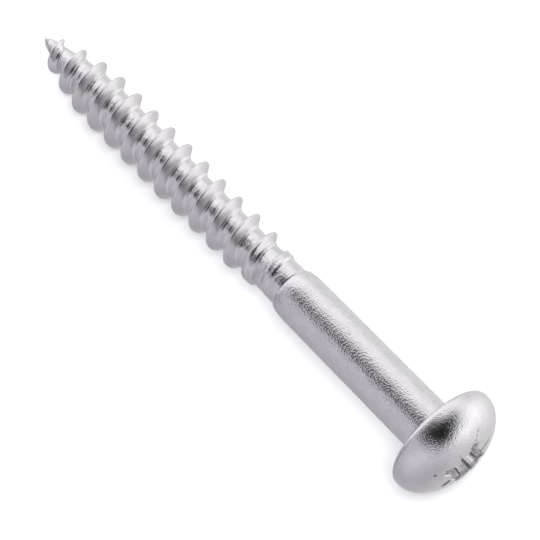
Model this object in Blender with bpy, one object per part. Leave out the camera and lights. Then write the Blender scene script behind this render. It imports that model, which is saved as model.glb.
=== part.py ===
"""Round head wood screw with a cross recess, one solid piece of stainless steel.

The screw lies on its side as it comes to rest on a flat surface: the rim of the
head and one crest of the thread touch the plane z = 0. Its tip points to -X and
its head to +X. Lengths are in metres, +Z is up.

The body is worked out in the screw's own frame, in which
  a    runs along the axis from the tip (a = 0) to the head,
  r    is the distance from the axis,
  beta is the angle round the axis, 0 at the top, growing the way a right-hand
       thread turns as it advances towards the head.
"""
import bpy
import bmesh
from math import pi, sin, cos, tan, atan2, radians, degrees
from mathutils import Matrix, Vector

MM = 0.001

# ---- driving dimensions -----------------------------------------------------
LENGTH = 50.0 * MM            # tip to the face under the head (nominal length)
MAJOR_R = 2.53 * MM           # thread crest radius (nominal diameter 5 mm)
MAJOR_DRAFT = 0.0042          # the crest gets this much slimmer per unit length
ROOT_R = 1.64 * MM            # thread root radius
PITCH = 2.208 * MM            # one start, right hand
FLANK_HEAD = radians(25.7)    # flank angle on the side that faces the head
FLANK_TIP = radians(22.4)     # flank angle on the side that faces the tip
CREST_W = 0.11 * MM           # flat on the crest
TIP_TAPER = 9.0 * MM          # length of the gimlet tip
TIP_POWER_CREST = 2.8         # how full the tip is, over the crests
TIP_POWER_ROOT = 2.3          # and over the root
THREAD_START = 0.5 * MM       # the crest grows out of the tip from here
THREAD_FULL = 1.6 * MM        # to here
RUNOUT_START = 27.6 * MM      # the thread sinks into the neck from here
RUNOUT_END = 29.9 * MM        # to here
NECK_R = 1.94 * MM            # plain neck between the thread and the shank
NECK_START = 29.3 * MM
SHOULDER_START = 31.9 * MM    # rounded shoulder up to the shank
SHOULDER_END = 33.4 * MM
SHANK_R_LOW = 2.285 * MM      # shank radius at the shoulder
SHANK_R_HIGH = 2.355 * MM     # shank radius under the head

HEAD_R = 5.05 * MM            # round head, 10.1 mm across
HEAD_H = 3.52 * MM            # its height
HEAD_RIM = 0.20 * MM          # short straight rim under the dome
HEAD_RIM_FOOT = 0.22 * MM     # the lower edge of the rim is rounded by this
HEAD_POWER = 2.13             # fullness of the dome (2 is an ellipse)
HEAD_SHIFT = 0.14 * MM        # the head sits this far off the shank's axis
HEAD_SHIFT_AT = radians(-73.4)

RECESS_TURN = radians(-28.4)  # direction of the first wing round the axis
RECESS_SPAN = 4.70 * MM       # across two opposite wings, at the surface
RECESS_WING = 0.78 * MM       # width of a wing at the surface
RECESS_CORE = 1.62 * MM       # radius of the core that the wings stand out of
RECESS_NOTCH = 1.86 * MM      # radius of the small rib notch between the wings
RECESS_NOTCH_HALF = radians(8.0)
RECESS_DEPTH = 2.30 * MM      # depth of the wings' floor below the crown
RECESS_POINT = 2.75 * MM      # depth of the centre of the core below the crown
RECESS_FLOOR = 0.70           # size of the recess at its floor, of that on top

THREAD_TURN = radians(155.6)  # the crest passes this direction round the axis
THREAD_AT = 11.25 * MM        # at this distance from the tip
SEGMENTS = 24                 # facets round the axis; one facet faces down
STEEL = (0.61, 0.60, 0.62, 1.0)


def smooth(x):
    x = min(max(x, 0.0), 1.0)
    return x * x * (3.0 - 2.0 * x)


def mix(p, q, t):
    return p + (q - p) * t


# ---- radii along the axis ---------------------------------------------------
def tip_fullness(a, power):
    return 1.0 - (1.0 - min(max(a / TIP_TAPER, 0.0), 1.0)) ** power


def root_radius(a):
    r = ROOT_R * tip_fullness(a, TIP_POWER_ROOT)
    return mix(r, NECK_R, smooth((a - NECK_START) / (RUNOUT_END + 0.8 * MM - NECK_START)))


def crest_radius(a):
    full = (MAJOR_R - MAJOR_DRAFT * a) * tip_fullness(a, TIP_POWER_CREST)
    low = root_radius(a)
    grow = smooth((a - THREAD_START) / (THREAD_FULL - THREAD_START))
    sink = 1.0 - smooth((a - RUNOUT_START) / (RUNOUT_END - RUNOUT_START))
    return low + (full - low) * grow * sink


# ---- the screw's outside as one closed mesh ---------------------------------
def screw_mesh(name):
    bm = bmesh.new()
    n = SEGMENTS
    step = 2.0 * pi / n
    beta0 = 0.5 * step                       # a facet, not an edge, faces down

    def put(a, r, beta, shift=0.0):
        y = r * sin(beta) + shift * sin(HEAD_SHIFT_AT)
        z = r * cos(beta) + shift * cos(HEAD_SHIFT_AT)
        return bm.verts.new((a, -y, z))

    # The crest's helix: a = a_first + PITCH * q / n at the angle beta0 + q * step.
    # Its first point is the first one far enough behind the tip.
    phase = (beta0 - THREAD_TURN) / (2.0 * pi) * PITCH
    a_first = phase + THREAD_AT
    while a_first > 0.62 * MM + PITCH:
        a_first -= PITCH
    while a_first < 0.62 * MM:
        a_first += PITCH

    def profile(q):
        """The five points of one pitch, from the crest's tip side to its land."""
        ac = a_first + PITCH * q / n
        rc = crest_radius(ac)
        h = max(rc - root_radius(ac), 0.10 * MM)
        offs = (-CREST_W / 2 - h * tan(FLANK_TIP), -CREST_W / 2, CREST_W / 2,
                CREST_W / 2 + h * tan(FLANK_HEAD))
        land = (offs[3] + PITCH + offs[0]) / 2
        pts = [(ac + offs[0], root_radius(ac + offs[0]))]
        pts += [(ac + offs[1], rc), (ac + offs[2], rc)]
        pts += [(ac + offs[3], root_radius(ac + offs[3]))]
        pts += [(ac + land, root_radius(ac + land))]
        return pts

    count = 5
    last = int((SHOULDER_START - 0.15 * MM - PITCH - a_first) / PITCH * n)
    grid = []
    for q in range(last + 1):
        beta = beta0 + q * step
        grid.append([put(a, r, beta) for a, r in profile(q)])
    for q in range(last):
        for j in range(count - 1):
            bm.faces.new((grid[q][j], grid[q + 1][j], grid[q + 1][j + 1], grid[q][j + 1]))
        if q + 1 + n <= last:
            bm.faces.new((grid[q][-1], grid[q + 1][-1], grid[q + 1 + n][0], grid[q + n][0]))

    # Tip: every edge of the first turn runs to the point.
    tip = bm.verts.new((0.0, 0.0, 0.0))
    start = [grid[q][0] for q in range(n + 1)]
    for v, w in zip(start, start[1:]):
        bm.faces.new((v, tip, w))
    column = [grid[0][j] for j in range(count)] + [grid[n][0]]
    for v, w in zip(column, column[1:]):
        bm.faces.new((w, tip, v))

    # Neck: the last turn's edge meets a ring square to the axis.
    def ring(a, r, turn=0, shift=0.0):
        return [put(a, r, beta0 + (last + k) * step, shift) for k in range(n)]

    edge = [grid[q][-1] for q in range(last - n, last + 1)]
    first_ring = ring(SHOULDER_START, root_radius(SHOULDER_START))
    for k in range(1, n):
        bm.faces.new((edge[k], edge[k + 1], first_ring[(k + 1) % n], first_ring[k]))
    fan = [edge[0]] + [grid[last][j] for j in range(count)]
    for v, w in zip(fan, fan[1:]):
        bm.faces.new((edge[1], w, v))
    bm.faces.new((edge[1], first_ring[1], first_ring[0], fan[-1]))

    # Shoulder, shank, underside of the head, rim and dome, as turned rings.
    turned = []
    for t in (0.12, 0.3, 0.6, 1.0):
        a = mix(SHOULDER_START, SHOULDER_END, t)
        turned.append((a, mix(NECK_R, SHANK_R_LOW, sin(0.5 * pi * t) ** 0.8), 0.0))
    turned.append((LENGTH, SHANK_R_HIGH, 0.0))
    turned.append((LENGTH, HEAD_R - HEAD_RIM_FOOT, HEAD_SHIFT))
    turned.append((LENGTH + 0.35 * HEAD_RIM, HEAD_R, HEAD_SHIFT))
    turned.append((LENGTH + HEAD_RIM, HEAD_R, HEAD_SHIFT))
    levels = 10
    for k in range(1, levels):
        t = 0.5 * pi * k / levels
        rise = (HEAD_H - HEAD_RIM) * sin(t) ** (2.0 / HEAD_POWER)
        turned.append((LENGTH + HEAD_RIM + rise, HEAD_R * cos(t) ** (2.0 / HEAD_POWER), HEAD_SHIFT))
    below = first_ring
    for a, r, shift in turned:
        above = ring(a, r, shift=shift)
        for k in range(n):
            bm.faces.new((below[k], below[(k + 1) % n], above[(k + 1) % n], above[k]))
        below = above
    crown = put(LENGTH + HEAD_H, 0.0, 0.0, HEAD_SHIFT)
    for k in range(n):
        bm.faces.new((below[k], below[(k + 1) % n], crown))

    bm.normal_update()
    bmesh.ops.recalc_face_normals(bm, faces=bm.faces)
    mesh = bpy.data.meshes.new(name)
    bm.to_mesh(mesh)
    bm.free()
    return mesh


# ---- the cross recess, as a tapered cutter ----------------------------------
def recess_outline():
    """Corners of the cross at the surface: four wings, with a small rib notch in
    each of the four corners between them."""
    pts = []
    half = RECESS_WING / 2
    foot = RECESS_CORE + 0.10 * MM
    for k in range(4):
        c = RECESS_TURN + k * pi / 2
        for along, across in ((foot, -half * 1.08), (RECESS_SPAN / 2, -half * 0.92),
                              (RECESS_SPAN / 2, half * 0.92), (foot, half * 1.08)):
            pts.append((along * cos(c) - across * sin(c), along * sin(c) + across * cos(c)))
        for turn, r in ((-RECESS_NOTCH_HALF, RECESS_CORE), (0.0, RECESS_NOTCH),
                        (RECESS_NOTCH_HALF, RECESS_CORE)):
            m = c + pi / 4 + turn
            pts.append((r * cos(m), r * sin(m)))
    return pts


def recess_cutter(name):
    bm = bmesh.new()
    cy, cz = HEAD_SHIFT * sin(HEAD_SHIFT_AT), HEAD_SHIFT * cos(HEAD_SHIFT_AT)

    def level(depth, size):
        a = LENGTH + HEAD_H - depth
        return [bm.verts.new((a, -(size * v + cy), size * u + cz)) for u, v in recess_outline()]

    taper = (1.0 - RECESS_FLOOR) / RECESS_DEPTH
    rows = [level(-0.6 * MM, 1.0 + 0.6 * MM * taper), level(RECESS_DEPTH, RECESS_FLOOR)]
    n = len(rows[0])
    for k in range(n):
        bm.faces.new((rows[0][k], rows[0][(k + 1) % n], rows[1][(k + 1) % n], rows[1][k]))
    top = bm.verts.new((LENGTH + HEAD_H + 0.6 * MM, -cy, cz))
    low = bm.verts.new((LENGTH + HEAD_H - RECESS_POINT, -cy, cz))
    for k in range(n):
        bm.faces.new((rows[0][k], top, rows[0][(k + 1) % n]))
        bm.faces.new((rows[1][k], rows[1][(k + 1) % n], low))
    bmesh.ops.recalc_face_normals(bm, faces=bm.faces)
    mesh = bpy.data.meshes.new(name)
    bm.to_mesh(mesh)
    bm.free()
    return mesh


# ---- how it lies ------------------------------------------------------------
def lying_matrix(mesh):
    """Tilts the axis until head rim and thread touch one plane, and sets the
    middle of the bounding box's underside at the origin."""
    pts = [v.co.copy() for v in mesh.vertices]
    head = [p for p in pts if p.x >= LENGTH - 0.01 * MM]
    body = [p for p in pts if p.x < LENGTH - 0.01 * MM]

    def lowest(group, tilt):
        return min(p.x * sin(tilt) + p.z * cos(tilt) for p in group)

    low, high = 0.0, radians(12.0)
    for _ in range(60):
        mid = 0.5 * (low + high)
        if lowest(head, mid) < lowest(body, mid):
            low = mid
        else:
            high = mid
    tilt = 0.5 * (low + high)
    turn = Matrix.Rotation(-tilt, 4, 'Y')
    lain = [turn @ p for p in pts]
    mid_x = 0.5 * (min(p.x for p in lain) + max(p.x for p in lain))
    mid_y = 0.5 * (min(p.y for p in lain) + max(p.y for p in lain))
    base = min(p.z for p in lain)
    return Matrix.Translation((-mid_x, -mid_y, -base)) @ turn, tilt


def steel():
    mat = bpy.data.materials.new("stainless_steel")
    mat.use_nodes = True
    shader = mat.node_tree.nodes["Principled BSDF"]
    shader.inputs["Base Color"].default_value = STEEL
    shader.inputs["Metallic"].default_value = 1.0
    shader.inputs["Roughness"].default_value = 0.34
    return mat


def main():
    for obj in list(bpy.data.objects):
        bpy.data.objects.remove(obj, do_unlink=True)

    mesh = screw_mesh("wood_screw")
    matrix, tilt = lying_matrix(mesh)
    mesh.materials.append(steel())
    screw = bpy.data.objects.new("wood_screw", mesh)
    bpy.context.collection.objects.link(screw)
    screw.matrix_world = matrix
    mesh.shade_smooth()
    mesh.set_sharp_from_angle(angle=radians(32.0))

    cutter = bpy.data.objects.new("recess_cutter", recess_cutter("recess_cutter"))
    bpy.context.collection.objects.link(cutter)
    cutter.matrix_world = matrix
    cutter.hide_render = True
    cutter.display_type = 'WIRE'

    cut = screw.modifiers.new("cross_recess", 'BOOLEAN')
    cut.operation = 'DIFFERENCE'
    cut.solver = 'EXACT'
    cut.object = cutter


main()
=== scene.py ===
import math
import bpy
import numpy as np
from mathutils import Matrix, Vector


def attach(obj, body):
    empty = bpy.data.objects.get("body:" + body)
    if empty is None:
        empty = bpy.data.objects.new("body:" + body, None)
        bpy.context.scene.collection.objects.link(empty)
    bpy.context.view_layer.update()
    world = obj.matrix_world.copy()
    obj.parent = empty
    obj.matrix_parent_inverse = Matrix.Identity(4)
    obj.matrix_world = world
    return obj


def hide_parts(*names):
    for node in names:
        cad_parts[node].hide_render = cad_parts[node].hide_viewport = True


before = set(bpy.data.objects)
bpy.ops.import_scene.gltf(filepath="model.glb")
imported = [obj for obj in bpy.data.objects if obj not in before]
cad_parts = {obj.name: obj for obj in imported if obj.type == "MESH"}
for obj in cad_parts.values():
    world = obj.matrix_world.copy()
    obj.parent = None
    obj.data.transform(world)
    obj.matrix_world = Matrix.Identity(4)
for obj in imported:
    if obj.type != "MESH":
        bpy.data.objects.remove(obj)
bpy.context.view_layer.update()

MM = 0.001

# =============================================================================
# Where the screw lies. a runs along its axis from the tip, beta round it, 0 at
# the top and growing the way the right-hand thread turns.
# =============================================================================
TILT = math.radians(3.349225)          # the axis rises towards the head
TIP_AT = (-26.720, -0.134, 2.033)      # millimetres, row frame
UNIT = 4.9885                          # thread diameter, the camera's unit
TIP_Z, HEAD_Z = -1.055, 8.968          # tip and head face, in units along the axis

# ---- the photograph's camera, in its own axes (x right, y down, z forward) ---
FOCAL_PX = 4011.4
THETA = math.radians(21.595)
PSI = math.radians(45.41)
REF_U, REF_V = 276.816, 274.465        # where the axis point at z = 5 falls
REF_SCALE = 60.495                     # pixels per unit there


def unit(v):
    v = np.asarray(v, float)
    return v / np.linalg.norm(v)


axis_c = np.array([math.cos(THETA) * math.cos(PSI), math.cos(THETA) * math.sin(PSI),
                   -math.sin(THETA)])
e1_c = unit(np.cross(axis_c, (0.0, 0.0, 1.0)))
e2_c = np.cross(axis_c, e1_c)
reach = math.hypot(axis_c[1], axis_c[2])
ELEV = math.atan2(axis_c[1], -axis_c[2]) + math.asin(math.sin(TILT) / reach)
up_c = np.array([0.0, -math.cos(ELEV), -math.sin(ELEV)])
x_c = unit(axis_c - axis_c.dot(up_c) * up_c)
y_c = np.cross(up_c, x_c)
TO_ROW = np.array([x_c, y_c, up_c])     # camera axes to row axes
TURN0 = math.atan2(up_c.dot(e2_c), up_c.dot(e1_c))   # the top, from e1 towards e2

LIE = Matrix.Translation(Vector(TIP_AT) * MM) @ Matrix.Rotation(-TILT, 4, 'Y')


def axial(z):
    return (z - TIP_Z) * UNIT


# =============================================================================
# Camera
# =============================================================================
def make_camera():
    depth = FOCAL_PX / REF_SCALE
    ref = np.array([(REF_U - 270.0) * depth / FOCAL_PX, (REF_V - 270.0) * depth / FOCAL_PX,
                    depth]) * UNIT * MM
    on_axis = LIE @ Vector((axial(5.0) * MM, 0.0, 0.0))
    place = np.array(on_axis) - TO_ROW @ ref
    right = TO_ROW @ np.array([1.0, 0.0, 0.0])
    up = TO_ROW @ np.array([0.0, -1.0, 0.0])
    back = TO_ROW @ np.array([0.0, 0.0, -1.0])
    data = bpy.data.cameras.new("camera")
    data.sensor_width = 36.0
    data.lens = FOCAL_PX * 36.0 / 540.0
    data.shift_x = -0.5 / 540.0
    data.shift_y = 0.5 / 540.0
    data.clip_start = 0.01
    data.clip_end = 20.0
    cam = bpy.data.objects.new("camera", data)
    bpy.context.scene.collection.objects.link(cam)
    m = Matrix.Identity(4)
    for i in range(3):
        m[i][0], m[i][1], m[i][2], m[i][3] = right[i], up[i], back[i], place[i]
    cam.matrix_world = m
    bpy.context.scene.camera = cam
    return cam


camera = make_camera()

# =============================================================================
# Shape of the screw, millimetres in its own frame
# =============================================================================
PITCH = 2.2078
CREST_TURN = 3.9964 - TURN0            # the crest passes this beta
CREST_AT = axial(1.2)                  # at this a
LENGTH = axial(HEAD_Z)
FLANK_HEAD = math.tan(math.radians(36.5))
FLANK_TIP = math.radians(17.0)
CREST_HALF, CREST_ASIDE, CREST_ROUND = 0.062, -0.006, 0.022
CREST_BACK = 0.09                      # radius of the crest's tip side, which is rounder
SHOULDER = 31.90
SHOULDER_LONG = 1.55
HEAD_R, HEAD_H, HEAD_RIM, HEAD_POWER = 5.07, 3.53, 0.50, 2.0
UNDER = LENGTH - 0.38                  # the lower edge of the head is well rounded
HEAD_SHIFT = 0.14
E1_BETA = -TURN0                       # direction in which the head sits off centre


def smooth(x):
    x = np.clip(x, 0.0, 1.0)
    return x * x * (3.0 - 2.0 * x)


def mix(p, q, t):
    return p + (q - p) * t


def softmax(p, q, k):
    """The larger of two radii, with a fillet of about k where they cross."""
    m = np.maximum(p, q)
    return m + k * np.log(np.exp((p - m) / k) + np.exp((q - m) / k))


def softmin(p, q, k):
    return -softmax(-p, -q, k)


def lattice(shape, seed):
    return np.random.default_rng(seed).uniform(-1.0, 1.0, shape)


def value_noise(u, v, seed, wrap_u=0):
    """Smooth noise on a plane, one cell per unit of u and v."""
    grid = lattice((257, 257), seed)
    iu, iv = np.floor(u).astype(int), np.floor(v).astype(int)
    fu, fv = smooth(u - iu), smooth(v - iv)

    def at(i, j):
        if wrap_u:
            i = i % wrap_u
        return grid[i % 257, j % 257]

    return mix(mix(at(iu, iv), at(iu + 1, iv), fu),
               mix(at(iu, iv + 1), at(iu + 1, iv + 1), fu), fv)


def root_radius(a):
    fall = 1.0 - np.clip(a / 9.5, 0.0, 1.0)
    r = 1.64 * (1.0 - fall ** 2.6)
    r = r + 0.43 * (1.0 - np.exp(-(a + 0.04) / 0.20)) * np.exp(-a / 1.05)
    r = r + 0.07 * smooth((a - 27.3) / 1.0)
    neck = 1.85 + 0.05 * smooth((a - 29.9) / 1.3)
    return mix(r, neck, smooth((a - 28.6) / 1.3))


def full_crest(a):
    r = (2.556 - 0.0053 * a) * (1.0 - (1.0 - np.clip(a / 9.5, 0.0, 1.0)) ** 2.7)
    r = r + 0.44 * np.exp(-((a - 1.0) / 1.9) ** 2) * (a > 0)
    return r + 0.05 * np.exp(-((a - 17.6) / 2.8) ** 2) + 0.035 * smooth((a - 23.5) / 1.5)


def lead(ac):
    """The first turns lie a little nearer the head than the others."""
    return 0.29 * np.exp(-np.maximum(ac, 0.0) / 9.0) - 0.018


def crest(ac):
    """Radius and half width of the crest where it passes a = ac."""
    low = root_radius(np.maximum(ac, 0.02))
    r = full_crest(ac)
    r = low + (r - low) * smooth((ac + 0.05) / 1.0)
    # the thread sinks into the neck, low and broad, with a seam along its crest
    sunk = np.interp(ac, [26.6, 27.4, 28.5, 29.3, 29.9, 30.4, 30.9], [9.0, 2.42, 2.20, 2.11, 2.03, 1.96, 1.84])
    r = softmin(r, sunk, 0.02)
    half = CREST_HALF + 0.26 * smooth((ac - 27.6) / 1.4) * (1.0 - 0.6 * smooth((ac - 30.0) / 0.9))
    return r, half


def ridge(x, ac):
    """The thread's own radius at a distance x from its crest towards the head."""
    r, half = crest(ac)
    x = x - CREST_ASIDE
    head = r - (x - half) / FLANK_HEAD
    out = np.maximum(-x - 0.9 * half, 0.0)
    bend_end = CREST_BACK * math.cos(FLANK_TIP)
    tip = r - np.where(out < bend_end, CREST_BACK - np.sqrt(np.maximum(CREST_BACK ** 2 - out ** 2, 0.0)),
                       CREST_BACK * (1.0 - math.sin(FLANK_TIP)) + (out - bend_end) / math.tan(FLANK_TIP))
    seam = 0.030 * smooth((ac - 27.9) / 1.0) * (1.0 - smooth((ac - 30.0) / 0.8))
    flat = r - seam * (1.0 - np.clip(np.abs(x) / np.maximum(half, 0.01), 0.0, 1.0) ** 2)
    return softmin(head, np.minimum(tip, flat), CREST_ROUND)


def thread_radius(a, x, ac, turn):
    """Radius at a; x is the distance from the crest at ac, turn counts along the helix."""
    low = root_radius(a)
    size = smooth((a - 2.0) / 3.0) * (1.0 - smooth((a - 28.2) / 1.2))
    # a narrow shelf at the foot of the flank that faces the head, then a step down
    shelf = 0.092 * (1.0 - smooth((x - 0.70) / 0.07)) * (x > -0.2)
    shelf = shelf - 0.020 * np.exp(-((x - 0.60) / 0.07) ** 2)
    rise = 0.075 * np.clip((x - 0.85) / 0.95, 0.0, 1.0) ** 2
    # the marks of rolling, long along the thread and rough in the root
    wave = value_noise(turn * 26.0, x * 1.6 + 7.0, 3) * 0.012
    rough = value_noise(turn * 90.0, x * 7.0 + 31.0, 5) * 0.015
    low = low + size * (shelf + rise) + (wave + rough) * smooth((x - 0.45) / 0.2) * smooth((a - 1.0) / 2.0)
    r = low
    for step in (-1, 0, 1):
        apart = step * PITCH + lead(ac + step * PITCH) - lead(ac)
        r = softmax(r, ridge(x - apart, ac + step * PITCH), 0.028)
    return r


def shank_radius(a):
    u = np.clip((a - SHOULDER) / SHOULDER_LONG, 0.0, 1.0)
    up = np.sqrt(np.maximum(1.0 - (1.0 - u) ** 2, 0.0)) ** 0.9
    low = root_radius(np.minimum(a, SHOULDER + 0.05))
    shank = 2.285 + (2.370 - 2.285) * np.clip((a - 33.0) / (LENGTH - 33.0), 0.0, 1.0)
    fillet = 0.30
    foot = np.clip((a - (UNDER - fillet)) / fillet, 0.0, 1.0)
    return mix(low, shank, up) + fillet * (1.0 - np.sqrt(np.maximum(1.0 - foot ** 2, 0.0)))


def dome_rise(r):
    """Height of the dome over its rim at a distance r from the head's middle."""
    q = np.clip(1.0 - (np.abs(r) / HEAD_R) ** HEAD_POWER, 0.0, 1.0)
    return (HEAD_H - HEAD_RIM) * q ** (1.0 / HEAD_POWER)


# ---- mesh pieces -------------------------------------------------------------
N_TURN = 128                           # points round the thread and the shank
N_HEAD = 256                           # and round the head
verts, faces, tags = [], [], []        # tags of each vertex: grain, rolled, a rougher finish that also paints light and shade into the base colour, speck, and painted shade in hollows


def add(points, grain, rolled, dull_and_painted_light=0.0, speck=0.0, painted_shade=0.0):
    start = len(verts)
    pts = np.asarray(points, float).reshape(-1, 3)
    verts.extend(map(tuple, pts))
    looks = [np.broadcast_to(np.asarray(v, float), (len(pts),)).tolist() for v in (grain, rolled, dull_and_painted_light, speck, painted_shade)]
    tags.extend(zip(*looks))
    return list(range(start, start + len(pts)))


def place(a, r, beta, bend=True):
    """Points at a, r, beta; the last of the tip is bent a little to one side."""
    y, z = r * np.sin(beta), r * np.cos(beta)
    if bend:
        off = 0.065 * (1.0 - smooth(a / 3.0))
        y = y + off * math.sin(E1_BETA)
        z = z + off * math.cos(E1_BETA)
    return np.stack([a, -y, z], -1)


def build_body():
    xs = np.array([-0.80, -0.73, -0.65, -0.54, -0.43, -0.32, -0.24, -0.17, -0.11, -0.06,
                   -0.020, 0.010, 0.034, 0.056, 0.080, 0.12, 0.19, 0.28, 0.37, 0.46, 0.54,
                   0.60, 0.65, 0.69, 0.73, 0.775, 0.85, 0.96, 1.08, 1.20, 1.34])
    step = 2.0 * math.pi / N_TURN
    start = -0.35
    beta_s = CREST_TURN + (start - CREST_AT) / PITCH * 2.0 * math.pi
    stop = SHOULDER - 0.85
    count = int((stop - start) / PITCH * N_TURN)
    q = np.arange(count + 1)
    beta = beta_s + q * step
    ac = start + PITCH * q / N_TURN
    turn = q / N_TURN
    at = ac + lead(ac)
    A = at[:, None] + xs[None, :]
    squeezed = 0.22 * np.log1p(np.exp((A - 0.30) / 0.22))       # keeps a above 0 at the tip
    A2 = np.where(A > 2.0, A, squeezed + 0.30 * smooth((A - 0.3) / 1.7))
    A2 = np.where(A > 30.6, 31.74 - 1.14 * np.exp(-(A - 30.6) / 1.14), A2)    # and below the shoulder
    X = A2 - at[:, None]
    R = thread_radius(A2, X, ac[:, None] + 0.0 * A2, turn[:, None] + 0.0 * A2)
    pts = place(A2, R, beta[:, None] + 0.0 * A2)
    nj = len(xs)
    # painted light and shade on the thread through the dull tag: the crest's tip side (back) gets a lighter base, a
    # painted highlight; the flank facing the head (flank) gets a darker base, painted shade; a band at the flank's
    # foot gets a lighter base; and the first turns at the tip get a lighter base, painted light. The tag also makes
    # these parts rougher.
    back = smooth((-0.06 - xs) / 0.06) * smooth((xs + 0.50) / 0.10)
    foot = 2.6 * np.exp(-((xs - 0.67) / 0.08) ** 2)
    flank = smooth((xs - 0.04) / 0.06) * (1.0 - smooth((xs - 0.60) / 0.09)) + back
    fade = (1.0 - smooth((ac - 27.6) / 1.4))[:, None]
    plain = flank[None, :] * fade
    ids = np.array(add(pts.reshape(-1, 3), (0.35 - 0.27 * plain + 0.5 * (1.0 - fade)).ravel() * smooth(A2 / 1.5).ravel(), (1.0 - 0.88 * plain).ravel(),
                       ((np.maximum(flank, foot) + 2.2 * back)[None, :] * fade * smooth((ac - 1.2) / 1.5)[:, None]
                        + 2.0 * (1.0 - smooth((A2 - 0.7) / 0.6))).ravel())).reshape(count + 1, nj)
    quads = []
    for j in range(nj - 1):
        quads.append(np.stack([ids[:-1, j], ids[1:, j], ids[1:, j + 1], ids[:-1, j + 1]], -1))
    n = N_TURN
    quads.append(np.stack([ids[:-1 - n, -1], ids[1:-n, -1], ids[1 + n:, 0], ids[n:-1, 0]], -1))
    for block in quads:
        faces.extend(map(tuple, block.tolist()))
    # tip; its point gets the same painted light (a lighter base) as the first turns
    tip = add(place(np.array([-0.17]), np.array([0.0]), np.array([0.0])), 0.0, 1.0, 2.0)[0]
    first = ids[:n + 1, 0].tolist()
    for v, w in zip(first, first[1:]):
        faces.append((v, tip, w))
    column = ids[0, :].tolist() + [ids[n, 0]]
    for v, w in zip(column, column[1:]):
        faces.append((w, tip, v))
    # neck
    beta_end = beta[count]
    ring_beta = beta_end + np.arange(n) * step
    edge = ids[count - n:count + 1, -1].tolist()
    a0 = SHOULDER - 0.13
    neck = shank_radius(np.full(n, a0))
    ring = add(place(np.full(n, a0), neck, ring_beta), 0.4, 0.6)
    for k in range(1, n):
        faces.append((edge[k], edge[k + 1], ring[(k + 1) % n], ring[k]))
    fan = [edge[0]] + ids[count, :].tolist()
    for v, w in zip(fan, fan[1:]):
        faces.append((edge[1], w, v))
    faces.append((edge[1], ring[1], ring[0], fan[-1]))
    # a fine groove at the shoulder's foot
    for da, dr in ((0.055, -0.003), (0.09, -0.035), (0.112, -0.05), (0.126, -0.012)):
        above = add(place(np.full(n, a0 + da), neck + dr, ring_beta), 0.4, 0.6)
        for k in range(n):
            faces.append((ring[k], ring[(k + 1) % n], above[(k + 1) % n], above[k]))
        ring = above
    return ring, ring_beta


def build_shank(below, ring_beta):
    stops = [SHOULDER + 0.0, SHOULDER + 0.012, SHOULDER + 0.035, SHOULDER + 0.07, SHOULDER + 0.12,
             SHOULDER + 0.2, SHOULDER + 0.3, SHOULDER + 0.42, SHOULDER + 0.56, SHOULDER + 0.74,
             SHOULDER + 0.95, SHOULDER + 1.2, SHOULDER + 1.5]
    stops += list(np.linspace(SHOULDER + 1.9, UNDER - 0.34, 44))
    stops += [UNDER - 0.30 * (1.0 - math.sin(t)) for t in np.linspace(0.0, 0.5 * math.pi, 6)]
    for a in stops:
        wobble = 0.006 * value_noise(ring_beta * 10 / (2 * math.pi), np.full(N_TURN, a * 0.35), 11, wrap_u=10)
        r = shank_radius(np.full(N_TURN, a)) + wobble * smooth((a - SHOULDER - 0.4) / 1.0)
        ring = add(place(np.full(N_TURN, min(a, UNDER)), r, ring_beta), 1.0, 0.0)
        for k in range(N_TURN):
            faces.append((below[k], below[(k + 1) % N_TURN], ring[(k + 1) % N_TURN], ring[k]))
        below = ring
    return below


# ---- the recess --------------------------------------------------------------
WING_R, WING_HALF = 2.36, 0.37         # wing tip radius and half width
CORE_R, NOTCH_R = 1.62, 1.90           # core and the small rib notches
NOTCH_HALF = math.radians(7.5)
WING_TURN = math.radians(45.0) - TURN0
FLOOR = 2.25                           # depth of the wing floors below the crown


def eighth():
    """The outline from the middle of a wing's end to the middle of a notch."""
    foot = (CORE_R + 0.16, WING_HALF * 1.12)
    lip = math.atan2(foot[1], foot[0])
    pts = [(WING_R, 0.0), (WING_R, 0.2), (WING_R - 0.02, WING_HALF * 0.86),
           (WING_R - 0.12, WING_HALF), (foot[0] + 0.1, WING_HALF * 1.05), foot]
    for t in np.linspace(lip + 0.09, math.pi / 4 - NOTCH_HALF, 5):
        pts.append((CORE_R * math.cos(t), CORE_R * math.sin(t)))
    pts.append((NOTCH_R * math.cos(math.pi / 4), NOTCH_R * math.sin(math.pi / 4)))
    return np.array(pts)


def outline():
    half = eighth()
    mirrored = half[::-1].copy()
    mirrored = np.stack([mirrored[:, 1], mirrored[:, 0]], -1)      # about 45 degrees
    quarter = np.concatenate([half, mirrored[1:]])
    pieces = []
    for k in range(4):
        c, s = math.cos(k * math.pi / 2), math.sin(k * math.pi / 2)
        pieces.append(quarter[:-1] @ np.array([[c, s], [-s, c]]))
    loop = np.concatenate(pieces)
    for _ in range(2):                                             # rounds the corners
        nxt = np.roll(loop, -1, 0)
        loop = np.stack([0.78 * loop + 0.22 * nxt, 0.22 * loop + 0.78 * nxt], 1).reshape(-1, 2)
    # N_HEAD points evenly along each eighth, so that wings and notches keep their places
    ang = np.unwrap(np.arctan2(loop[:, 1], loop[:, 0]))
    shift = int(np.argmin(np.abs(ang)))
    loop = np.roll(loop, -shift, 0)
    closed = np.concatenate([loop, loop[:1]])
    length = np.concatenate([[0.0], np.cumsum(np.linalg.norm(np.diff(closed, axis=0), axis=1))])
    total = length[-1]
    s = np.arange(N_HEAD) / N_HEAD * total
    return np.stack([np.interp(s, length, closed[:, 0]), np.interp(s, length, closed[:, 1])], -1)


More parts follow.
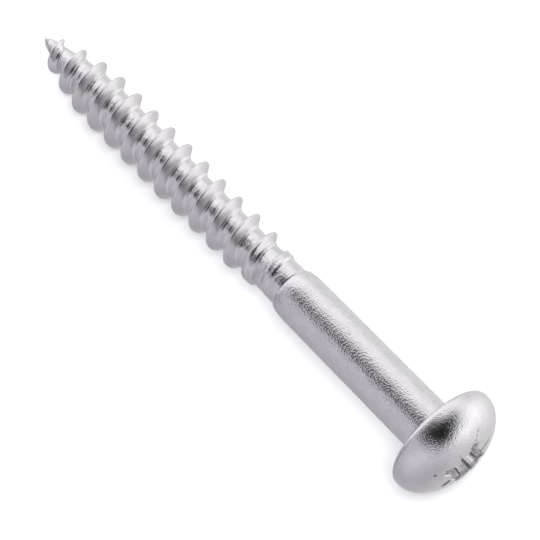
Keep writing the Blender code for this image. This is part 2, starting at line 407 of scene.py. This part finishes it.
def grow(loop, d):
    """The outline moved outwards by d."""
    ahead, behind = np.roll(loop, -1, 0), np.roll(loop, 1, 0)
    t = ahead - behind
    t /= np.linalg.norm(t, axis=1)[:, None]
    n = np.stack([t[:, 1], -t[:, 0]], -1)
    for _ in range(2):
        n = n + 0.5 * (np.roll(n, -1, 0) + np.roll(n, 1, 0))
        n /= np.linalg.norm(n, axis=1)[:, None]
    return loop + d * n


def head_marks(p):
    """Depth and painted shade of the ticks, the scratch and the pit on the head's face."""
    depth, painted_shade = np.zeros(len(p)), np.zeros(len(p))
    r = np.hypot(p[:, 0], p[:, 1])
    ang = np.arctan2(p[:, 1], p[:, 0])
    ticks = ((43.0, 1.95, 2.75, 0.030, 0.09, 0.5, 0.15), (131.5, 1.72, 2.90, 0.15, 0.18, 12.0, 1.0),
             (225.0, 1.85, 2.60, 0.08, 0.10, 0.0, 0.8), (315.0, 1.62, 2.95, 0.16, 0.14, -4.5, 1.0))
    for deg, low, high, deep, half, slant, dark in ticks:
        d = (ang - math.radians(deg) - math.radians(slant) * (r - low) + math.pi) % (2 * math.pi) - math.pi
        across = np.abs(r * np.sin(d)) / half
        along = smooth((r - low) / 0.10) * smooth((high - r) / 0.50) * (np.abs(d) < 1.0)
        depth += deep * along * np.clip(1.0 - across, 0.0, 1.0) ** 0.8
        depth -= 0.026 * along * np.exp(-((across - 1.40) / 0.35) ** 2)
        painted_shade += dark * along * np.clip(1.55 - across, 0.0, 1.0)
    # a broken scratch from the end of one wing, and a pit, both with painted shade in them
    d = (ang - math.radians(1.5) + math.radians(5.0) * (r - 2.5) + math.pi) % (2 * math.pi) - math.pi
    across = np.abs(r * np.sin(d)) / 0.10
    along = smooth((r - 2.5) / 0.08) * smooth((3.80 - r) / 0.25) * (np.abs(d) < 1.0)
    broken = np.clip(0.25 + 1.1 * np.sin(r * 17.0) + 0.6 * np.sin(r * 41.0 + 1.0), 0.0, 1.0)
    depth += 0.045 * along * broken * np.clip(1.0 - across, 0.0, 1.0)
    painted_shade += 1.0 * along * broken * np.clip(1.2 - across, 0.0, 1.0)
    q = p - 3.22 * np.array([math.cos(math.radians(94.1)), math.sin(math.radians(94.1))])
    near = np.hypot(q[:, 0] / 0.20, q[:, 1] / 0.15)
    depth += 0.07 * np.clip(1.0 - near, 0.0, 1.0) - 0.015 * np.exp(-((near - 1.3) / 0.3) ** 2)
    painted_shade += 1.1 * np.clip(1.15 - near, 0.0, 1.0)
    return depth, np.clip(painted_shade, 0.0, 1.0)


def build_head(shank_ring, ring_beta):
    n = N_HEAD
    turn = WING_TURN + np.arange(n) / n * 2.0 * math.pi
    cy, cz = HEAD_SHIFT * math.sin(E1_BETA), HEAD_SHIFT * math.cos(E1_BETA)

    def circle(a, r, grain=0.32, rolled=0.0):
        y, z = r * np.sin(turn) + cy, r * np.cos(turn) + cz
        return add(np.stack([np.full(n, a), -y, z], -1), grain, rolled, 0.0, 1.0)

    def loft(low, high):
        for k in range(n):
            faces.append((low[k], low[(k + 1) % n], high[(k + 1) % n], high[k]))

    # underside: 128 points of the shank's foot to 256 of the first ring
    ring = circle(UNDER, 2.95)
    offset = int(round(((ring_beta[0] - turn[0]) / (2 * math.pi) * n))) % n
    m = N_TURN
    for k in range(m):
        o = (offset + 2 * k) % n
        s0, s1 = shank_ring[k], shank_ring[(k + 1) % m]
        faces.append((s0, ring[(o + 1) % n], ring[o]))
        faces.append((s0, s1, ring[(o + 1) % n]))
        faces.append((s1, ring[(o + 2) % n], ring[(o + 1) % n]))
    below = ring
    for r in (3.4, 3.8, 4.1):
        ring = circle(UNDER, r)
        loft(below, ring)
        below = ring
    for t in np.linspace(0.12, 0.94, 12) * 0.5 * math.pi:         # rounded lower edge
        ring = circle(UNDER + 0.68 * (1.0 - math.cos(t)), HEAD_R - 0.80 * (1.0 - math.sin(t)))
        loft(below, ring)
        below = ring
    for t in np.concatenate([np.linspace(0.0, 0.30, 6), np.linspace(0.36, 0.94, 15)]):
        t = t * 0.5 * math.pi
        r = HEAD_R * math.cos(t) ** (2.0 / HEAD_POWER)
        if r < 4.02:
            break
        ring = circle(LENGTH + HEAD_RIM + float(dome_rise(r)), r)
        loft(below, ring)
        below = ring

    # from a circle on the dome to the edge of the recess
    edge = outline()
    lip = grow(edge, 0.11)
    round_ = np.stack([3.9 * np.cos(np.arange(n) / n * 2 * math.pi),
                       3.9 * np.sin(np.arange(n) / n * 2 * math.pi)], -1)

    def on_head(p, depth, grain, rolled, level=None, dull_and_painted_light=0.0, painted_shade=0.0):
        r = np.hypot(p[:, 0], p[:, 1])
        a = LENGTH + HEAD_RIM + dome_rise(r) if level is None else level
        a = a - depth
        # p is measured from the first wing; turn it to its place round the axis
        c, s = math.cos(WING_TURN), math.sin(WING_TURN)
        zz = p[:, 0] * c - p[:, 1] * s + cz
        yy = p[:, 0] * s + p[:, 1] * c + cy
        return add(np.stack([a, -yy, zz], -1), grain, rolled, dull_and_painted_light, 1.0 - rolled, painted_shade)

    # the ticks, the scratch and the pit are cut into the face here and carry their painted shade
    for w in np.linspace(0.0, 1.0, 27):
        p = mix(round_, lip, w)
        deep, painted_shade = head_marks(p)
        ring = on_head(p, deep, 0.32 - 0.14 * w, 0.0, painted_shade=painted_shade)
        loft(below, ring)
        below = ring
    # the lip rounds into the recess; its innermost rings get a lighter base, a painted highlight, and the marks keep
    # part of their painted shade
    for d, depth in ((0.075, 0.006), (0.045, 0.020), (0.02, 0.045), (0.004, 0.08), (0.0, 0.13)):
        p = grow(edge, d)
        deep, painted_shade = head_marks(p)
        ring = on_head(p, np.maximum(depth, deep * 0.8), 0.3, 0.5, dull_and_painted_light=2.2 * smooth((0.05 - d) / 0.03), painted_shade=painted_shade * 0.6)
        loft(below, ring)
        below = ring
    r_edge = np.hypot(edge[:, 0], edge[:, 1])
    top = LENGTH + HEAD_RIM + dome_rise(r_edge) - 0.13
    low = LENGTH + HEAD_H - FLOOR
    wing = smooth((r_edge - 1.72) / 0.35)
    painted_crease_shade = 0.85 * np.exp(-((r_edge - 1.84) / 0.05) ** 2)     # painted shade: dark lines down the corners of the walls
    # painted light: the walls of the recess, and its floor below, get a near-white base through the dull tag
    for u in (0.12, 0.25, 0.4, 0.55, 0.7, 0.85, 0.95, 1.0):
        size = 1.0 - (0.27 - 0.13 * wing) * u - 0.03 * smooth((u - 0.9) / 0.1)
        ring = on_head(edge * size[:, None], 0.0, 0.15, 0.3, level=mix(top, low, u), dull_and_painted_light=3.6, painted_shade=painted_crease_shade)
        loft(below, ring)
        below = ring
    for s, deeper in ((0.62, 0.06), (0.48, 0.16), (0.34, 0.26), (0.18, 0.38), (0.06, 0.46)):
        q = edge * size[:, None] * (s / 0.77)
        rr = np.hypot(q[:, 0], q[:, 1])
        q = mix(q, q / rr[:, None] * rr.mean(), smooth((0.6 - s) / 0.4))
        ring = on_head(q, 0.0, 0.15, 0.3, level=np.full(n, low - deeper), dull_and_painted_light=3.6)
        loft(below, ring)
        below = ring
    bottom = add([(low - 0.48, -cy, cz)], 0.25, 0.6)[0]
    for k in range(n):
        faces.append((below[k], below[(k + 1) % n], bottom))


neck_ring, neck_beta = build_body()
shank_top = build_shank(neck_ring, neck_beta)
build_head(shank_top, neck_beta)

mesh = bpy.data.meshes.new("wood_screw_steel")
mesh.from_pydata([tuple(c * MM for c in v) for v in verts], [], faces)
mesh.update()
for col, name in enumerate(("grain", "rolled", "dull_and_painted_light", "speck", "painted_shade")):
    att = mesh.attributes.new(name, 'FLOAT', 'POINT')
    att.data.foreach_set("value", np.array(tags)[:, col].astype(np.float32))
mesh.transform(LIE)
mesh.shade_smooth()
screw = bpy.data.objects.new("wood_screw_steel", mesh)
bpy.context.scene.collection.objects.link(screw)


# =============================================================================
# Materials
# =============================================================================
class Nodes:
    def __init__(self, tree):
        self.tree = tree
        tree.nodes.clear()

    def __call__(self, kind, **values):
        node = self.tree.nodes.new(kind)
        for key, value in values.items():
            if key.startswith("in_"):
                name = key[3:]
                socket = node.inputs[int(name)] if name.isdigit() else node.inputs[name.replace("_", " ")]
                self.put(socket, value)
            else:
                setattr(node, key, value)
        return node

    def put(self, socket, value):
        if isinstance(value, bpy.types.NodeSocket):
            self.tree.links.new(value, socket)
        else:
            socket.default_value = value

    def math(self, op, a, b=0.0, c=0.0, clamp=False):
        node = self("ShaderNodeMath", operation=op, use_clamp=clamp)
        for i, v in enumerate((a, b, c)):
            self.put(node.inputs[i], v)
        return node.outputs[0]

    def ramp(self, x, low, high, a=0.0, b=1.0, smooth_=True):
        node = self("ShaderNodeMapRange", interpolation_type='SMOOTHSTEP' if smooth_ else 'LINEAR')
        for key, v in (("Value", x), ("From Min", low), ("From Max", high), ("To Min", a), ("To Max", b)):
            self.put(node.inputs[key], v)
        return node.outputs["Result"]

    def colour(self, t, c0, c1):
        node = self("ShaderNodeMix", data_type='RGBA')
        self.put(node.inputs["Factor"], t)
        for socket, c in ((node.inputs[6], c0), (node.inputs[7], c1)):
            self.put(socket, c if isinstance(c, bpy.types.NodeSocket) else (*c, 1.0))
        return node.outputs[2]


def noise(t, where, scale, detail=2.0, rough=0.5, distort=0.0):
    node = t("ShaderNodeTexNoise", in_Vector=where, in_Scale=scale, in_Detail=detail,
             in_Roughness=rough, in_Distortion=distort)
    return node.outputs["Factor"] if "Factor" in node.outputs else node.outputs[0]


def steel():
    mat = bpy.data.materials.new("tumbled_stainless_steel")
    mat.use_nodes = True
    t = Nodes(mat.node_tree)
    out = t("ShaderNodeOutputMaterial")
    shader = t("ShaderNodeBsdfPrincipled")
    t.put(out.inputs["Surface"], shader.outputs[0])
    where = t("ShaderNodeTexCoord").outputs["Object"]
    grain = t("ShaderNodeAttribute", attribute_name="grain").outputs["Fac"]
    rolled = t("ShaderNodeAttribute", attribute_name="rolled").outputs["Fac"]
    dull_and_painted_light = t("ShaderNodeAttribute", attribute_name="dull_and_painted_light").outputs["Fac"]
    speck = t("ShaderNodeAttribute", attribute_name="speck").outputs["Fac"]
    painted_shade = t("ShaderNodeAttribute", attribute_name="painted_shade").outputs["Fac"]

    # fine streaks round the axis, where the thread was rolled
    stretch = t("ShaderNodeMapping", in_Vector=where)
    stretch.inputs["Rotation"].default_value = (0.0, TILT, 0.0)
    stretch.inputs["Scale"].default_value = (1.0, 0.12, 0.12)
    streaks = noise(t, stretch.outputs[0], 14000.0, 3.0, 0.6)

    pebbles = noise(t, where, 6700.0, 1.0, 0.60, 0.0)
    specks = noise(t, where, 8800.0, 1.0, 0.55, 0.0)
    fine = noise(t, where, 24000.0, 2.0, 0.6)
    blotch = noise(t, where, 900.0, 3.0, 0.6)

    tint = t.colour(t.ramp(blotch, 0.35, 0.68), (0.555, 0.545, 0.560), (0.600, 0.590, 0.605))
    # painted light and shade from the dull tag: from 0 to 1 it darkens the base (painted shade on the head-facing
    # flank); from 1 to 2.6 it lightens it (painted light at the tip, painted highlights on the crest's back and the
    # recess lip, a lighter band at the flank's foot); from 3.25 it turns it near white (painted light in the recess)
    tint = t.colour(t.ramp(dull_and_painted_light, 0.0, 1.0, 0.0, 0.20, smooth_=False), tint, (0.36, 0.35, 0.36))
    tint = t.colour(t.ramp(dull_and_painted_light, 1.0, 2.6, smooth_=False), tint, (0.72, 0.71, 0.72))
    tint = t.colour(t.ramp(dull_and_painted_light, 3.25, 3.5, smooth_=False), tint, (0.93, 0.92, 0.93))
    # painted shade: the soil tag darkens the ticks, the scratch, the pit and the corners of the recess walls almost
    # to black
    tint = t.colour(t.ramp(painted_shade, 0.0, 1.0, 0.0, 0.93, smooth_=False), tint, (0.045, 0.042, 0.042))
    t.put(shader.inputs["Base Color"], tint)
    shader.inputs["Metallic"].default_value = 1.0
    rough = t.math('ADD', t.ramp(fine, 0.3, 0.7, 0.10, 0.15), t.math('MULTIPLY', t.ramp(blotch, 0.3, 0.7, -0.03, 0.04), 1.0))
    rough = t.math('ADD', rough, t.math('MULTIPLY', rolled, 0.03))
    rough = t.math('ADD', rough, t.math('MULTIPLY', dull_and_painted_light, 0.12))
    rough = t.math('ADD', rough, t.ramp(dull_and_painted_light, 3.25, 3.5, 0.0, -0.36))
    t.put(shader.inputs["Roughness"], rough)

    h1 = t.math('MULTIPLY', t.math('MULTIPLY', pebbles, grain), 1.1)
    h2 = t.math('MULTIPLY', fine, t.math('MULTIPLY_ADD', grain, 0.04, 0.02))
    h3 = t.math('MULTIPLY', streaks, t.math('MULTIPLY', rolled, 0.30))
    h4 = t.math('MULTIPLY', specks, t.math('MULTIPLY', speck, 0.66))
    height = t.math('ADD', t.math('ADD', t.math('ADD', h1, h2), h3), h4)
    bump = t("ShaderNodeBump")
    bump.inputs["Strength"].default_value = 1.0
    bump.inputs["Distance"].default_value = 0.000040
    t.put(bump.inputs["Height"], height)
    t.put(shader.inputs["Normal"], bump.outputs[0])
    return mat


mesh.materials.append(steel())
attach(screw, "root")
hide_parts("wood_screw")


# =============================================================================
# Floor
# =============================================================================
def floor():
    bm_pts = []
    n = 48
    mesh_ = bpy.data.meshes.new("paper_floor")
    ring_r = (0.12, 0.35, 0.8, 1.8)
    bm_pts.append((0.0, 0.0, 0.0))
    for r in ring_r:
        for k in range(n):
            bm_pts.append((r * math.cos(2 * math.pi * k / n), r * math.sin(2 * math.pi * k / n), 0.0))
    fs = [(0, 1 + k, 1 + (k + 1) % n) for k in range(n)]
    for i in range(len(ring_r) - 1):
        for k in range(n):
            p, q = 1 + i * n, 1 + (i + 1) * n
            fs.append((p + k, q + k, q + (k + 1) % n, p + (k + 1) % n))
    mesh_.from_pydata(bm_pts, [], fs)
    mesh_.update()
    obj = bpy.data.objects.new("paper_floor", mesh_)
    bpy.context.scene.collection.objects.link(obj)
    mat = bpy.data.materials.new("white_paper")
    mat.use_nodes = True
    t = Nodes(mat.node_tree)
    out = t("ShaderNodeOutputMaterial")
    shader = t("ShaderNodeBsdfPrincipled")
    t.put(out.inputs["Surface"], shader.outputs[0])
    where = t("ShaderNodeTexCoord").outputs["Object"]
    t.put(shader.inputs["Base Color"], t.colour(noise(t, where, 60.0, 2.0), (0.90, 0.90, 0.91), (0.93, 0.93, 0.935)))
    shader.inputs["Roughness"].default_value = 0.9
    shader.inputs["Emission Color"].default_value = (1.0, 0.99, 1.0, 1.0)
    shader.inputs["Emission Strength"].default_value = 0.02
    mesh_.materials.append(mat)
    obj.visible_glossy = False         # the tent's own lower half is what the steel mirrors
    return obj


floor()


# =============================================================================
# Studio light: a white tent round the screw, open along a slot over it. Its walls,
# its opening and the table are given by the angle psi round the screw's length,
# from the right-hand side (0) over the top (90) to the left (180); one profile
# for what lies beyond the head and one for what lies beyond the tip.
# =============================================================================
PSI = (-90, -60, -32, -10, 4, 20, 38, 50, 62, 76, 95, 116, 128, 140, 156, 180, 212, 240, 270)
BEYOND_HEAD = (0.80, 0.92, 1.22, 1.66, 1.70, 1.63, 1.47, 0.75, 0.14, 0.03, 0.02, 0.03, 0.12,
               0.80, 0.96, 0.95, 0.80, 0.66, 0.72)
BEYOND_TIP = (0.62, 0.80, 1.08, 1.06, 0.93, 1.25, 1.48, 1.45, 1.50, 1.20, 0.30, 0.06, 0.24,
              0.87, 0.83, 0.82, 0.72, 0.62, 0.55)
TIP_END = (0.90, 0.86, 0.95, 1.05, 1.25, 1.40, 1.50, 1.58, 1.58, 1.52, 1.30, 0.95, 0.80,
           0.80, 0.72, 0.58, 0.48, 0.50, 0.75)
HEAD_END = (0.95, 1.00, 1.15, 1.45, 1.58, 1.50, 1.30, 0.95, 0.60, 0.42, 0.32, 0.30, 0.42,
            0.65, 0.85, 0.90, 0.92, 0.90, 0.94)


def studio():
    world = bpy.data.worlds.new("studio")
    bpy.context.scene.world = world
    world.use_nodes = True
    t = Nodes(world.node_tree)
    out = t("ShaderNodeOutputWorld")
    back = t("ShaderNodeBackground")
    t.put(out.inputs["Surface"], back.outputs[0])
    where = t("ShaderNodeTexCoord").outputs["Generated"]
    parts = t("ShaderNodeSeparateXYZ")
    t.put(parts.inputs[0], where)
    x, y, z = parts.outputs
    psi = t.math('ARCTAN2', z, y)
    turn = t.math('FRACT', t.math('MULTIPLY_ADD', psi, 1.0 / (2.0 * math.pi), 1.25))

    def wall(levels):
        ramp = t("ShaderNodeValToRGB")
        t.put(ramp.inputs[0], turn)
        stops = ramp.color_ramp.elements
        while len(stops) > 1:
            stops.remove(stops[-1])
        for i, (p, level) in enumerate(zip(PSI, levels)):
            at = (p + 90.0) / 360.0
            stop = stops[0] if i == 0 else stops.new(at)
            stop.position = at
            stop.color = (0.4 * level, 0.4 * level, 0.4 * level, 1.0)
        return ramp.outputs[0]

    ahead = t.ramp(x, -0.35, 0.30, smooth_=False)
    both = t("ShaderNodeMix", data_type='RGBA')
    t.put(both.inputs["Factor"], ahead)
    t.put(both.inputs[6], wall(BEYOND_TIP))
    t.put(both.inputs[7], wall(BEYOND_HEAD))
    beyond = t.ramp(x, -0.60, -0.46, smooth_=False)
    all_ = t("ShaderNodeMix", data_type='RGBA')
    t.put(all_.inputs["Factor"], beyond)
    t.put(all_.inputs[6], wall(TIP_END))
    t.put(all_.inputs[7], both.outputs[2])
    end_on = t.colour(t.ramp(x, -0.97, -0.80, 1.0, 0.0), all_.outputs[2], (0.60, 0.60, 0.60))
    face_on = t("ShaderNodeMix", data_type='RGBA')
    t.put(face_on.inputs["Factor"], t.ramp(x, 0.905, 0.99, smooth_=False))
    t.put(face_on.inputs[6], end_on)
    t.put(face_on.inputs[7], wall(HEAD_END))
    side = t.ramp(y, -0.5, 0.5)
    tint = t.colour(side, (2.5, 2.41, 2.59), (2.5, 2.47, 2.5))
    lit = t("ShaderNodeMix", data_type='RGBA', blend_type='MULTIPLY')
    lit.inputs["Factor"].default_value = 1.0
    t.put(lit.inputs[6], face_on.outputs[2])
    t.put(lit.inputs[7], tint)
    t.put(back.inputs["Color"], lit.outputs[2])
    back.inputs["Strength"].default_value = 1.0


def lamp(name, size, watts, place):
    """A soft lamp for the paper alone; the steel mirrors the tent instead."""
    data = bpy.data.lights.new(name, 'AREA')
    data.shape = 'DISK'
    data.size = size
    data.energy = watts
    obj = bpy.data.objects.new(name, data)
    bpy.context.scene.collection.objects.link(obj)
    obj.location = place
    obj.rotation_euler = (-Vector(place)).to_track_quat('-Z', 'Y').to_euler()
    obj.visible_glossy = False
    return obj


lamp("key", 0.5, 5.4, (0.20, -0.20, 0.82))
lamp("behind", 1.0, 2.2, (0.16, 0.46, 0.62))
studio()
bpy.context.scene.view_settings.view_transform = 'Standard'
bpy.context.scene.view_settings.look = 'None'
